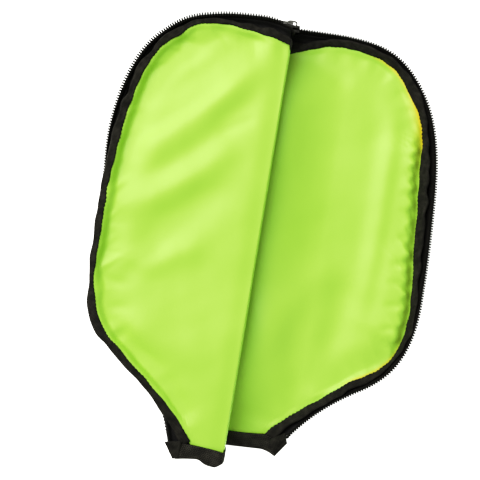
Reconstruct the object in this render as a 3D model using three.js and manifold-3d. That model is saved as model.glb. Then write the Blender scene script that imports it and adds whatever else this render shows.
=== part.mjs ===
// Zip-round cover for a paddle's head, lying open on its back panel.
//
// Millimetres, +Z up. The case lies flat with its neck towards -Y and its centre line on X = 0.
// The front panel is folded over along the centre line: its left half is still zipped to the
// back panel, and its right half, the flap, lies lining-up on top of the left half.
import * as THREE from "three";
import { mergeVertices } from "three/addons/utils/BufferGeometryUtils.js";
import Module from "manifold-3d";

const wasm = await Module();
wasm.setup();

// ---------------------------------------------------------------- driving dimensions

// Outline of the case in plan, measured from the neck edge upwards.
const caseLength = 296;
const neckHalfWidth = 38;
const taperEnd = new THREE.Vector2(85, 55);
const widestHalfWidth = 114;
const widestY = 125;
const shoulder = new THREE.Vector2(109.5, 226);
const crownRadius = 420;
const crownHalfWidth = 58;

// Thickness of the closed case. Each panel carries half of the side wall.
const caseThickness = 24;
const shellThickness = 1.0;
const shellWallHeight = 5.0;
const foamLow = 1.3;
const foamHigh = 3.4;
const liningLow = 3.7;
const liningHigh = 4.3;
const bindingLow = 4.6;
const bindingHigh = 6.1;
const tapeHigh = 8.2;
const coilLow = 8.5;
const coilHigh = 10.4;

// Distances inwards from the outline.
const tapeOuter = 1.35;
const tapeInner = 2.05;
const coilOuter = 0.8;
const coilInner = 2.6;
const panelInset = 2.4;
const bindingInner = 8.4;

const gap = 0.3;
const foldClearance = gap / 2;

// Neck edge and zip ends.
const neckTapeHalfWidth = 28.5;
const neckTapeDepth = 10;
const neckTapeThickness = 1.0;
const panelEdgeY = 1.5;
const endTabHigh = 9;
const endTabOuter = 3.2;
const endTabLength = 13.5;
const endStopLow = 8;
const endStopHigh = 11;
const gussetTop = 62;
const bottomStopHigh = 67;
const stopOuter = 0.5;
const stopInner = 2.9;

// Slider and pull, at the middle of the crown.
const sliderLength = 11;
const sliderPlate = 1.2;
const sliderFlange = 0.8;
const diamondLength = 3.2;
const diamondWidth = 2.4;
const bridgeLength = 7.2;
const bridgeWidth = 1.8;
const bridgeThickness = 1.0;
const bridgeInside = 2.4;
const pullLength = 26;
const pullEyeWidth = 5.6;
const pullTailWidth = 7.4;
const pullThickness = 1.3;
const pullSlotEnd = 5.2;
const pullSlotWidth = 2.8;
const flapCoilStart = 7;

// Derived heights.
const middle = caseThickness / 2;
const plateTop = caseLength - stopOuter + sliderPlate;
const pivotY = plateTop + gap + bridgeInside / 2;
const bridgeTop = plateTop + gap + bridgeInside + bridgeThickness;
const bottomCentre = bridgeTop / 2;

// The three trays the case is made of. Every height inside a tray is measured from its shell.
const back = { name: "back", base: 0, faceDown: false, full: true };
const frontLeft = { name: "front_left", base: 0, faceDown: true, full: false };
const flap = { name: "flap", base: caseThickness + gap, faceDown: false, full: false };

// ---------------------------------------------------------------- materials

function fabric(colour, roughness) {
  return new THREE.MeshStandardMaterial({ color: colour, roughness, metalness: 0 });
}

function shellFabric() {
  return fabric(0x1b1c1e, 0.85);
}

function foamSheet() {
  return fabric(0x55585a, 0.95);
}

function satin() {
  return fabric(0xa8e03c, 0.4);
}

function bindingTape() {
  return fabric(0x2c2d30, 0.8);
}

function zipTape() {
  return fabric(0x151516, 0.85);
}

function zipCoil() {
  return fabric(0x101011, 0.45);
}

function twillTape() {
  return fabric(0x232427, 0.8);
}

function nickel() {
  return new THREE.MeshStandardMaterial({ color: 0xb9bcc0, roughness: 0.25, metalness: 1 });
}

// ---------------------------------------------------------------- outline

// Curves of the right half of the rim, from below the neck corner up to the centre of the crown.
function rimCurves() {
  const crownCentreY = caseLength - crownRadius;
  const crownTurn = Math.asin(crownHalfWidth / crownRadius);
  const crownEndY = crownCentreY + crownRadius * Math.cos(crownTurn);
  const crownEnd = new THREE.Vector2(crownHalfWidth, crownEndY);
  const taperLean = 0.45;
  const overrun = 12;
  const neckCorner = new THREE.Vector2(neckHalfWidth, 0);
  const belowNeck = new THREE.Vector2(neckHalfWidth - taperLean * overrun, -overrun);
  const taperBend = new THREE.Vector2(51.5, 27.5);
  const taper = new THREE.QuadraticBezierCurve(neckCorner, taperBend, taperEnd);
  const hipBend = new THREE.Vector2(104.5, 69);
  const widest = new THREE.Vector2(widestHalfWidth, widestY);
  const hip = new THREE.CubicBezierCurve(taperEnd, hipBend, new THREE.Vector2(widestHalfWidth, 92), widest);
  const shoulderLean = 0.2;
  const below = new THREE.Vector2(shoulder.x + shoulderLean * 30, shoulder.y - 30);
  const side = new THREE.CubicBezierCurve(widest, new THREE.Vector2(widestHalfWidth, 160), below, shoulder);
  const above = new THREE.Vector2(shoulder.x - shoulderLean * 36, shoulder.y + 36);
  const crownReach = 30;
  const crownLead = new THREE.Vector2(
    crownEnd.x + crownReach * Math.cos(crownTurn),
    crownEnd.y - crownReach * Math.sin(crownTurn),
  );
  const corner = new THREE.CubicBezierCurve(shoulder, above, crownLead, crownEnd);
  const right = Math.PI / 2 - crownTurn;
  const crown = new THREE.EllipseCurve(
    0, crownCentreY, crownRadius, crownRadius, right, Math.PI / 2, false, 0,
  );
  return [
    { curve: new THREE.LineCurve(belowNeck, neckCorner), steps: 1 },
    { curve: taper, steps: 5 },
    { curve: hip, steps: 8 },
    { curve: side, steps: 5 },
    { curve: corner, steps: 10 },
    { curve: crown, steps: 4 },
  ];
}

// Points of the right half of the rim, moved inwards by inset.
function rimPoints(inset) {
  const points = [];
  for (const { curve, steps } of rimCurves()) {
    const first = points.length === 0 ? 0 : 1;
    for (let i = first; i <= steps; i += 1) {
      const point = curve.getPoint(i / steps);
      const along = curve.getTangent(i / steps);
      points.push(new THREE.Vector2(point.x - along.y * inset, point.y + along.x * inset));
    }
  }
  return points;
}

function crossing(a, b, axis, value) {
  const share = (value - a[axis]) / (b[axis] - a[axis]);
  return a.clone().lerp(b, share);
}

// Keeps the stretch of the rim from height low to height high, and outside the centre gap.
function rimStretch(inset, low, high = caseLength + 1, centreGap = 0) {
  const points = rimPoints(inset);
  const kept = [];
  for (let i = 0; i < points.length - 1; i += 1) {
    const a = points[i];
    const b = points[i + 1];
    if (b.y <= low) continue;
    const start = a.y < low ? crossing(a, b, "y", low) : a;
    if (kept.length === 0) kept.push(start);
    if (b.y > high) {
      kept.push(crossing(start, b, "y", high));
      return kept;
    }
    if (b.x < centreGap) {
      kept.push(crossing(start, b, "x", centreGap));
      return kept;
    }
    kept.push(b);
  }
  return kept;
}

function mirrored(points) {
  return points.map((point) => new THREE.Vector2(-point.x, point.y));
}

// ---------------------------------------------------------------- solids

// A plate between two heights above a tray's shell, wherever that tray lies.
function plateIn(tray, points, low, high) {
  const bottom = tray.faceDown ? caseThickness - high : tray.base + low;
  const ordered = THREE.ShapeUtils.isClockWise(points) ? points.slice().reverse() : points;
  const geometry = new THREE.ExtrudeGeometry(new THREE.Shape(ordered), {
    depth: high - low,
    bevelEnabled: false,
  });
  geometry.translate(0, 0, bottom);
  return geometry;
}

// Outline of a whole panel, or of its left half up to the fold.
function panelOutline(tray, inset, low) {
  if (tray.full) {
    const right = rimStretch(inset, low);
    const left = mirrored(right).reverse().slice(1);
    return [...right, ...left];
  }
  const left = mirrored(rimStretch(inset, low, undefined, foldClearance));
  return [...left, new THREE.Vector2(-foldClearance, low)];
}

// Outline of a band that follows the rim between two insets.
// rightFrom and leftFrom are the heights where the band starts on each side of the neck.
function bandOutline(tray, outer, inner, leftFrom, rightFrom, centreGap = foldClearance) {
  const edge = (inset) => {
    if (tray.full) {
      const right = rimStretch(inset, rightFrom);
      const left = mirrored(rimStretch(inset, leftFrom)).reverse().slice(1);
      return [...right, ...left];
    }
    return mirrored(rimStretch(inset, leftFrom, undefined, centreGap));
  };
  return [...edge(outer), ...edge(inner).reverse()];
}

// Outline of a short stretch of the rim on one side, from height low to height high.
function stretchOutline(outer, inner, low, high, side) {
  const outside = rimStretch(outer, low, high);
  const inside = rimStretch(inner, low, high);
  const loop = [...outside, ...inside.reverse()];
  return side === "right" ? loop : mirrored(loop);
}

function boxBetween(low, high) {
  const size = new THREE.Vector3().subVectors(high, low);
  const geometry = new THREE.BoxGeometry(size.x, size.y, size.z);
  const centre = new THREE.Vector3().addVectors(high, low).multiplyScalar(0.5);
  geometry.translate(centre.x, centre.y, centre.z);
  return geometry;
}

function box(x0, y0, z0, x1, y1, z1) {
  return boxBetween(new THREE.Vector3(x0, y0, z0), new THREE.Vector3(x1, y1, z1));
}

// Joins and cuts are made on exact meshes.
function toManifold(geometry) {
  const bare = geometry.clone();
  bare.deleteAttribute("normal");
  bare.deleteAttribute("uv");
  const welded = mergeVertices(bare, 1e-4);
  const mesh = new wasm.Mesh({
    numProp: 3,
    vertProperties: new Float32Array(welded.attributes.position.array),
    triVerts: new Uint32Array(welded.index.array),
  });
  return new wasm.Manifold(mesh);
}

function fromManifold(solid) {
  const mesh = solid.getMesh();
  const geometry = new THREE.BufferGeometry();
  geometry.setAttribute("position", new THREE.BufferAttribute(mesh.vertProperties, 3));
  geometry.setIndex(new THREE.BufferAttribute(mesh.triVerts, 1));
  geometry.computeVertexNormals();
  return geometry;
}

function join(geometries) {
  let solid = toManifold(geometries[0]);
  for (const geometry of geometries.slice(1)) {
    solid = solid.add(toManifold(geometry));
  }
  return fromManifold(solid);
}

function cut(geometry, tools) {
  let solid = toManifold(geometry);
  for (const tool of tools) {
    solid = solid.subtract(toManifold(tool));
  }
  return fromManifold(solid);
}

function place(group, name, geometry, material) {
  geometry.translate(0, -bottomCentre, 0);
  const mesh = new THREE.Mesh(geometry, material);
  mesh.name = name;
  group.add(mesh);
}

// ---------------------------------------------------------------- one tray

// Outer fabric: a sheet with a low wall that follows the rim, notched for the neck tape.
function outerShell(tray) {
  const sheet = plateIn(tray, panelOutline(tray, 0, gap), 0, shellThickness);
  const band = bandOutline(tray, 0, shellThickness, gap, gap);
  const wall = plateIn(tray, band, shellThickness / 2, shellWallHeight);
  const notchWidth = neckTapeHalfWidth + gap;
  const notch = box(-notchWidth, -1, -1, notchWidth, neckTapeDepth + gap, flap.base + caseThickness);
  return cut(join([sheet, wall]), [notch]);
}

function foamPanel(tray) {
  return plateIn(tray, panelOutline(tray, panelInset, panelEdgeY), foamLow, foamHigh);
}

function liningPanel(tray) {
  return plateIn(tray, panelOutline(tray, panelInset, panelEdgeY), liningLow, liningHigh);
}

// Binding over the inside seam. On a zipped side it stops above the folded zip end.
function rimBinding(tray, leftFrom, rightFrom) {
  const outline = bandOutline(tray, panelInset, bindingInner, leftFrom, rightFrom);
  return plateIn(tray, outline, bindingLow, bindingHigh);
}

function sideTape(tray, leftFrom, rightFrom) {
  const outline = bandOutline(tray, tapeOuter, tapeInner, leftFrom, rightFrom);
  return plateIn(tray, outline, foamLow, tapeHigh);
}

function coilRow(tray, leftFrom, rightFrom, centreGap) {
  const outline = bandOutline(tray, coilOuter, coilInner, leftFrom, rightFrom, centreGap);
  return plateIn(tray, outline, coilLow, coilHigh);
}

// Twill tape folded round the neck edge: two legs joined along the edge.
function neckTape(tray) {
  const innerLow = liningHigh + gap;
  const innerHigh = innerLow + neckTapeThickness;
  const section = new THREE.Shape();
  section.moveTo(0, 0);
  section.lineTo(neckTapeDepth, 0);
  section.lineTo(neckTapeDepth, neckTapeThickness);
  section.lineTo(neckTapeThickness, neckTapeThickness);
  section.lineTo(neckTapeThickness, innerLow);
  section.lineTo(neckTapeDepth, innerLow);
  section.lineTo(neckTapeDepth, innerHigh);
  section.lineTo(0, innerHigh);
  section.closePath();
  const x0 = -neckTapeHalfWidth;
  const x1 = tray.full ? neckTapeHalfWidth : -foldClearance;
  const geometry = new THREE.ExtrudeGeometry(section, { depth: x1 - x0, bevelEnabled: false });
  geometry.rotateY(Math.PI / 2);
  geometry.rotateX(Math.PI / 2);
  geometry.translate(x0, 0, tray.base);
  if (tray.faceDown) {
    geometry.rotateY(Math.PI);
    geometry.translate(x0 + x1, 0, caseThickness);
  }
  return geometry;
}

// Zip tape end, folded over into the neck corner.
function zipEndTab(tray, side) {
  const outline = stretchOutline(endTabOuter, bindingInner, gap, endTabLength, side);
  return plateIn(tray, outline, bindingLow, endTabHigh);
}

function zipEndStop(tray, side) {
  const outline = stretchOutline(stopOuter, stopInner, endStopLow, endStopHigh, side);
  return plateIn(tray, outline, coilLow, coilHigh);
}

// ---------------------------------------------------------------- closed side

// Sewn strip that joins the two panels between the zip's bottom stop and the neck.
function gusset() {
  const outline = stretchOutline(tapeOuter, tapeInner, gap, gussetTop, "left");
  return plateIn(back, outline, foamLow, caseThickness - foamLow);
}

function bottomStop() {
  const outline = stretchOutline(stopOuter, stopInner, gussetTop + gap, bottomStopHigh, "left");
  return plateIn(back, outline, coilLow, caseThickness - coilLow);
}

// ---------------------------------------------------------------- slider

// Two plates held apart by a neck at the leading end, with flanges that keep the teeth in.
function sliderBody() {
  const half = sliderLength / 2;
  const channelHalf = middle - coilLow + gap;
  const outsideHalf = channelHalf + sliderFlange;
  const channelOut = caseLength - stopOuter;
  const channelIn = caseLength - stopInner;
  const slotOut = caseLength - tapeOuter + gap;
  const slotIn = caseLength - tapeInner - gap;
  const block = box(
    -half, channelIn - sliderPlate, middle - outsideHalf,
    half, channelOut + sliderPlate, middle + outsideHalf,
  );
  const overlap = 1;
  const behind = box(
    -half - overlap, channelIn, middle - channelHalf,
    half - diamondLength, channelOut, middle + channelHalf,
  );
  const above = box(
    -half - overlap, channelIn, middle + diamondWidth / 2,
    half + overlap, channelOut, middle + channelHalf,
  );
  const below = box(
    -half - overlap, channelIn, middle - channelHalf,
    half + overlap, channelOut, middle - diamondWidth / 2,
  );
  const slot = box(
    -half - overlap, slotIn, middle + channelHalf - overlap,
    half + overlap, slotOut, middle + outsideHalf + overlap,
  );
  const otherSlot = box(
    -half - overlap, slotIn, middle - outsideHalf - overlap,
    half + overlap, slotOut, middle - channelHalf + overlap,
  );
  const trimmed = cut(block, [behind, above, below]);
  return cut(trimmed, [slot, otherSlot]);
}

// Bridge over the outer plate, which holds the pull.
function sliderBridge() {
  const half = bridgeLength / 2;
  const arch = new THREE.Shape();
  arch.moveTo(-half, 0);
  arch.lineTo(-half + bridgeThickness, 0);
  arch.lineTo(-half + bridgeThickness, bridgeInside - bridgeThickness);
  arch.quadraticCurveTo(-half + bridgeThickness, bridgeInside, -bridgeThickness, bridgeInside);
  arch.lineTo(bridgeThickness, bridgeInside);
  arch.quadraticCurveTo(half - bridgeThickness, bridgeInside, half - bridgeThickness,
    bridgeInside - bridgeThickness);
  arch.lineTo(half - bridgeThickness, 0);
  arch.lineTo(half, 0);
  arch.lineTo(half, bridgeInside - bridgeThickness);
  arch.quadraticCurveTo(half, bridgeInside + bridgeThickness, bridgeThickness,
    bridgeInside + bridgeThickness);
  arch.lineTo(-bridgeThickness, bridgeInside + bridgeThickness);
  arch.quadraticCurveTo(-half, bridgeInside + bridgeThickness, -half,
    bridgeInside - bridgeThickness);
  arch.closePath();
  const geometry = new THREE.ExtrudeGeometry(arch, {
    depth: bridgeWidth,
    bevelEnabled: false,
    curveSegments: 5,
  });
  geometry.translate(0, plateTop + gap, middle - bridgeWidth / 2);
  return geometry;
}

// Flat pull with a slot that the bridge passes through. It lies along the rim to the left.
function pullTab() {
  const eyeHalf = pullEyeWidth / 2;
  const tailHalf = pullTailWidth / 2;
  const barHalf = pullThickness / 2;
  const outline = new THREE.Shape();
  outline.moveTo(barHalf, -eyeHalf);
  outline.lineTo(barHalf, eyeHalf);
  outline.lineTo(-pullSlotEnd - 2, eyeHalf);
  outline.lineTo(-pullLength + tailHalf, tailHalf);
  outline.absarc(-pullLength + tailHalf, 0, tailHalf, Math.PI / 2, 1.5 * Math.PI, false);
  outline.lineTo(-pullSlotEnd - 2, -eyeHalf);
  outline.closePath();
  const slotHalf = pullSlotWidth / 2;
  const slot = new THREE.Path();
  slot.moveTo(-barHalf, -slotHalf);
  slot.lineTo(-pullSlotEnd, -slotHalf);
  slot.lineTo(-pullSlotEnd, slotHalf);
  slot.lineTo(-barHalf, slotHalf);
  slot.closePath();
  outline.holes.push(slot);
  const geometry = new THREE.ExtrudeGeometry(outline, {
    depth: pullThickness,
    bevelEnabled: false,
    curveSegments: 10,
  });
  geometry.rotateX(Math.PI / 2);
  geometry.translate(0, pivotY + barHalf, middle);
  return geometry;
}

// ---------------------------------------------------------------- the whole case

// Shell, foam, lining and neck tape: the pieces each tray has whatever its zip does.
function addPanel(group, tray) {
  place(group, `${tray.name}_outer_shell`, outerShell(tray), shellFabric());
  place(group, `${tray.name}_foam`, foamPanel(tray), foamSheet());
  place(group, `${tray.name}_lining`, liningPanel(tray), satin());
  place(group, `${tray.name}_neck_tape`, neckTape(tray), twillTape());
}

function addZip(group, tray, leftSide, rightSide, centreGap) {
  const { name } = tray;
  place(group, `${name}_rim_binding`, rimBinding(tray, leftSide.binding, rightSide.binding), bindingTape());
  place(group, `${name}_zip_tape`, sideTape(tray, leftSide.tape, rightSide.tape), zipTape());
  place(group, `${name}_zip_coil`, coilRow(tray, leftSide.coil, rightSide.coil, centreGap), zipCoil());
}

function addZipEnd(group, tray, side) {
  place(group, `${tray.name}_zip_end_tab`, zipEndTab(tray, side), zipTape());
  place(group, `${tray.name}_zip_end_stop`, zipEndStop(tray, side), nickel());
}

const group = new THREE.Group();
group.name = "paddle_case";

// Heights above the neck edge where each band starts, on the sewn side and on the zipped side.
const sewnSide = { binding: gap, tape: gussetTop + gap, coil: bottomStopHigh + gap };
const zipSide = { binding: endTabLength + gap, tape: gap, coil: endStopHigh + gap };

addPanel(group, back);
addZip(group, back, sewnSide, zipSide);
addZipEnd(group, back, "right");

addPanel(group, frontLeft);
addZip(group, frontLeft, sewnSide, zipSide, foldClearance);

addPanel(group, flap);
addZip(group, flap, zipSide, zipSide, flapCoilStart);
addZipEnd(group, flap, "left");

place(group, "side_gusset", gusset(), shellFabric());
place(group, "zip_bottom_stop", bottomStop(), nickel());
place(group, "slider_body", sliderBody(), nickel());
place(group, "slider_bridge", sliderBridge(), nickel());
place(group, "pull_tab", pullTab(), nickel());

export default group;
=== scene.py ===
import math

import bpy
import numpy as np
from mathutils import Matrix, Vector, noise


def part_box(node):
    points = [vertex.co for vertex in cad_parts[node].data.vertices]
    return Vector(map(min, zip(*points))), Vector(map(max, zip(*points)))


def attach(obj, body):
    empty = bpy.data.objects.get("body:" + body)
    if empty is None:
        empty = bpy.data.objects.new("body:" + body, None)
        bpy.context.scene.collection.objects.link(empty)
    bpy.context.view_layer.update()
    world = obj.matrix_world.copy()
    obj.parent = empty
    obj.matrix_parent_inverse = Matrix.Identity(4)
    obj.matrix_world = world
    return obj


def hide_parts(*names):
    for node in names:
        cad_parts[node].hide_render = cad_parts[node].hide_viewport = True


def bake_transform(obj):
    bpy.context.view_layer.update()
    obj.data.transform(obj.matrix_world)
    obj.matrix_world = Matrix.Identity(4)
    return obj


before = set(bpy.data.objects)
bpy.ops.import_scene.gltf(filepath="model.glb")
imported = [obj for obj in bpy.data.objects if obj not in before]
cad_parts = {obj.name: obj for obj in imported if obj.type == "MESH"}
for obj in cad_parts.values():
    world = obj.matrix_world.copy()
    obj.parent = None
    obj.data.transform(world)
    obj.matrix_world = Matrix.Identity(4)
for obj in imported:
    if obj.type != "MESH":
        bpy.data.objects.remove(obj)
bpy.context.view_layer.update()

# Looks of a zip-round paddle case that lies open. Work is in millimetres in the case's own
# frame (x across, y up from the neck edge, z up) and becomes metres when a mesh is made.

MM = 0.001

# ---- sizes taken from the frame

shell_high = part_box("back_outer_shell")[1]
NECK_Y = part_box("back_neck_tape")[0].y / MM
HALF_WIDTH = shell_high.x / MM
LENGTH = shell_high.y / MM - NECK_Y
FLAP_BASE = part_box("flap_outer_shell")[0].z / MM
CASE_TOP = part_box("front_left_outer_shell")[1].z / MM
FOLD_Z = (FLAP_BASE + CASE_TOP) / 2

# ---- camera

# Metres, degrees for the roll, and millimetres for the lens and sensor.
CAMERA_HEIGHT = 0.8
CAMERA_X = -0.0115
CAMERA_Y = -0.0045
CAMERA_ROLL = 9.3
CAMERA_LENS = 85.93
SENSOR = 36.0


def add_object(name, data):
    item = bpy.data.objects.new(name, data)
    bpy.context.scene.collection.objects.link(item)
    return item


def make_camera():
    """Straight above the case, turned a little so that the case leans to the left."""
    data = bpy.data.cameras.new("camera")
    data.lens = CAMERA_LENS
    data.sensor_width = SENSOR
    camera = add_object("camera", data)
    camera.location = (CAMERA_X, CAMERA_Y, CAMERA_HEIGHT)
    camera.rotation_euler = (0, 0, math.radians(CAMERA_ROLL))
    bpy.context.scene.camera = camera


make_camera()

# ---- small maths


def smooth(t):
    """Rises from 0 to 1 as t does, and is level at both ends."""
    t = np.clip(t, 0, 1)
    return t * t * (3 - 2 * t)


def keyed(keys):
    """A smooth function of s through a few (s, value) pairs."""
    places = np.array([k[0] for k in keys], float)
    values = np.array([k[1] for k in keys], float)
    slopes = np.gradient(values, places)
    rise = np.diff(values) / np.diff(places)
    slopes[1:-1] = np.where(rise[:-1] * rise[1:] > 0, slopes[1:-1], 0)

    def value(s):
        s = np.clip(np.asarray(s, float), places[0], places[-1])
        i = np.clip(np.searchsorted(places, s) - 1, 0, len(places) - 2)
        span = places[i + 1] - places[i]
        t = (s - places[i]) / span
        start = (1 + 2 * t) * (1 - t) ** 2 * values[i] + t * (1 - t) ** 2 * span * slopes[i]
        stop = t * t * (3 - 2 * t) * values[i + 1] + t * t * (t - 1) * span * slopes[i + 1]
        return start + stop

    return value


def level(value):
    """The same value at every s."""
    return lambda s: np.full_like(np.asarray(s, float), value)


def rim_shape(**entries):
    """Functions of s from single values or from (s, value) pairs."""
    return {name: keyed(v) if isinstance(v, list) else level(v) for name, v in entries.items()}


def bell(x, width):
    return np.exp(-((x / width) ** 2))


def window(s, start, rise, stop, fall):
    """1 between start and stop, easing to 0 within rise of the start and fall of the stop."""
    return smooth((s - start) / rise) * smooth((stop - s) / fall)


def unit(vectors):
    lengths = np.linalg.norm(vectors, axis=-1)
    return vectors / np.maximum(lengths, 1e-9)[..., None]


def distances(grid, axis=0):
    """How far each point lies from the first of its line, measured along the line."""
    steps = np.linalg.norm(np.diff(grid, axis=axis), axis=-1)
    start = np.zeros_like(np.take(steps, [0], axis))
    return np.concatenate([start, np.cumsum(steps, axis)], axis)


NOISE_STRETCH = 1.9


def wobble(s, pitch, seed):
    """A smooth random wave along s, from about -1 to 1, with bumps about one pitch apart."""
    places = [(float(v) / pitch, seed * 7.31, seed * 1.7) for v in np.ravel(s)]
    return NOISE_STRETCH * np.array([noise.noise(place) for place in places])


def wobble2(xy, size, seed):
    """The same over the case's plane."""
    places = [(x / size, y / size, seed * 3.17) for x, y in xy]
    return NOISE_STRETCH * np.array([noise.noise(place) for place in places])


# ---- outline

CURVE_POINTS = 120
RIM_SAMPLES = 401
NEAREST_BATCH = 4000


def bezier(*points):
    points = [np.array(p, float) for p in points]
    t = np.linspace(0, 1, CURVE_POINTS)[:, None]
    while len(points) > 1:
        points = [a * (1 - t) + b * t for a, b in zip(points, points[1:])]
    return points[0]


class Rim:
    """The right half of the outline by distance s from the neck corner, in millimetres."""

    def __init__(self):
        neck_corner = (38, 0)
        taper_bend = (51.5, 27.5)
        taper_end = (85, 55)
        hip_bend = (104.5, 69)
        hip_lead = (HALF_WIDTH, 92)
        widest = (HALF_WIDTH, 125)
        side_lead = (HALF_WIDTH, 160)
        side_bend = (115.5, 196)
        shoulder = (109.5, 226)
        shoulder_bend = (102.3, 262)
        crown_radius = 420
        crown_half_width = 58
        crown_reach = 30
        turn = math.asin(crown_half_width / crown_radius)
        centre_y = LENGTH - crown_radius
        crown_end = (crown_half_width, centre_y + crown_radius * math.cos(turn))
        crown_lead = (
            crown_end[0] + crown_reach * math.cos(turn),
            crown_end[1] - crown_reach * math.sin(turn),
        )
        angles = np.linspace(math.pi / 2 - turn, math.pi / 2, CURVE_POINTS // 2)
        crown = np.stack(
            [crown_radius * np.cos(angles), centre_y + crown_radius * np.sin(angles)], 1
        )
        curves = [
            bezier(neck_corner, taper_bend, taper_end),
            bezier(taper_end, hip_bend, hip_lead, widest),
            bezier(widest, side_lead, side_bend, shoulder),
            bezier(shoulder, shoulder_bend, crown_lead, crown_end),
            crown,
        ]
        line = np.concatenate([c[:-1] for c in curves] + [crown[-1:]])
        run = distances(line)
        self.length = float(run[-1])
        self.s = np.linspace(0, self.length, RIM_SAMPLES)
        self.line = np.stack([np.interp(self.s, run, line[:, k]) for k in (0, 1)], 1)
        along = unit(np.gradient(self.line, axis=0))
        self.normal = np.stack([along[:, 1], -along[:, 0]], 1)
        self.normal[-1] = (0, 1)

    def at(self, s, out):
        """Points that lie out millimetres outside the outline, at distance s along it."""
        s = np.asarray(s, float)
        place = np.stack([np.interp(s, self.s, self.line[:, k]) for k in (0, 1)], -1)
        way = np.stack([np.interp(s, self.s, self.normal[:, k]) for k in (0, 1)], -1)
        return place + np.asarray(out)[..., None] * unit(way)

    def coordinates(self, xy):
        """Distance along the outline and outwards from it, for points in the right half."""
        s = np.empty(len(xy))
        out = np.empty(len(xy))
        for i in range(0, len(xy), NEAREST_BATCH):
            batch = slice(i, i + NEAREST_BATCH)
            gaps = xy[batch, None, :] - self.line[None, :, :]
            near = (gaps ** 2).sum(2).argmin(1)
            s[batch] = self.s[near]
            away = xy[batch] - self.line[near]
            out[batch] = (away * self.normal[near]).sum(1)
        return s, out


rim = Rim()
END = rim.length

# ---- how each rim lies

# Each entry gives a value by the distance s along the rim, in millimetres.
# edge        outermost line of the zip, outwards from the outline
# inner       where the lining meets the binding, outwards from the outline
# crest_share how far the binding's crest lies from the edge towards the inner line
# crest_high  height of the crest, and crest_wave how far it wavers
# foot_high   height where the lining meets the binding
# wall_run    how far in the lining's climb to the binding reaches
# coil_high   height of the teeth, coil_back how far they lie inside the edge, and
#             coil_reach how far each turn swings
# tape_in     how far the tape sinks in behind the teeth
# seam_back   how far the binding's outer side lies inside the edge
BACK_RIGHT = rim_shape(
    edge=[(0, -2), (48, -0.5), (80, 2.4), (112, 5.4), (160, 5.6), (210, 4.2), (275, 3.6),
          (310, 1.8), (352, 3.0), (384, 1.0), (END, 0.0)],
    inner=[(0, -17), (20, -14.5), (48, -9.5), (80, -7), (96, -3), (112, 0), (140, -1), (190, -5.6),
           (235, -7.9), (272, -5), (300, -7.0), (352, -5.2), (370, -6.6), (384, -11.6),
           (END, -18.5)],
    crest_share=[(0, 0.5), (80, 0.5), (120, 0.55), (250, 0.58), (330, 0.42), (365, 0.42),
                 (384, 0.55), (END, 0.62)],
    crest_high=[(0, 5.0), (10, 5.6), (26, 8.0), (60, 8.2), (120, 9.4), (300, 9.6), (365, 9.0),
                (384, 6.8), (END, 5.6)],
    foot_high=[(0, 4.7), (36, 5.4), (66, 6.8), (96, 6.2), (122, 4.2), (240, 4.2), (280, 6.4),
               (340, 6.6), (372, 5.6), (END, 5.2)],
    crest_wave=[(0, 0.6), (80, 1.0), (140, 1.3), (END, 1.3)],
    coil_high=[(0, 7.5), (60, 8.6), (380, 9.4), (END, 9.8)],
    coil_back=[(0, 2.0), (80, 1.8), (104, 1.0), (END, 1.0)],
    coil_reach=[(0, 0.6), (80, 0.6), (120, 0.85), (250, 0.92), (370, 0.9), (END, 0.8)],
    tape_in=[(0, 0.5), (END - 14, 0.5), (END, 0.0)],
    seam_back=[(0, 3.0), (40, 2.4), (80, 1.6), (END, 1.6)],
    wall_run=3.4,
)
FLAP_LEFT = rim_shape(
    edge=[(0, -0.8), (6, -2.0), (26, -5.7), (34, -5.4), (48, -3.2), (64, -0.9), (80, -1.2),
          (98, 0.9), (112, -0.7), (128, -4.0), (190, -4.0), (240, -1.6), (288, -1.3), (312, -2.4),
          (336, -0.8), (356, 1.1), (380, 1.2), (391, 0.0), (END, -2.8)],
    inner=[(0, -20), (12, -16.5), (23, -13.5), (36, -10.7), (64, -7.8), (112, -8.4), (150, -9.6),
           (190, -9.7), (240, -11.2), (300, -10.0), (318, -10.8), (342, -6.6), (358, -7.0),
           (372, -9.6), (388, -12.2), (END, -15.8)],
    crest_share=[(0, 0.4), (120, 0.4), (190, 0.35), (240, 0.5), (300, 0.5), (340, 0.5), (368, 0.62),
                 (END, 0.7)],
    crest_high=[(0, 5.0), (10, 5.6), (26, 7.8), (60, 9.0), (100, 9.4), (300, 9.9), (350, 9.4),
                (378, 7.2), (END, 5.6)],
    foot_high=[(0, 4.7), (30, 6.4), (60, 8.2), (100, 8.8), (300, 9.0), (345, 8.2), (380, 6.4),
               (END, 5.2)],
    crest_wave=[(0, 0.4), (60, 0.4), (190, 0.35), (240, 1.0), (END, 1.2)],
    coil_high=[(0, 3.0), (120, 3.0), (190, 3.6), (235, 7.0), (300, 9.2), (END - 15, 9.2),
               (END - 7, 6.6), (END, 6.4)],
    coil_back=[(0, 2.6), (120, 2.8), (190, 2.0), (230, 0.7), (330, 0.7), (360, 0.9), (END, 0.9)],
    coil_reach=[(0, 0.7), (200, 0.7), (240, 0.9), (280, 1.35), (340, 1.35), (370, 1.05),
                (END, 0.9)],
    tape_in=0.5,
    seam_back=[(0, 9.0), (6, 7.4), (17, 3.6), (28, 0.4), (190, 0.4), (240, 1.4), (END, 1.6)],
    wall_run=[(0, 3.4), (270, 3.4), (310, 6.8), (365, 6.8), (END, 3.4)],
)
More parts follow.
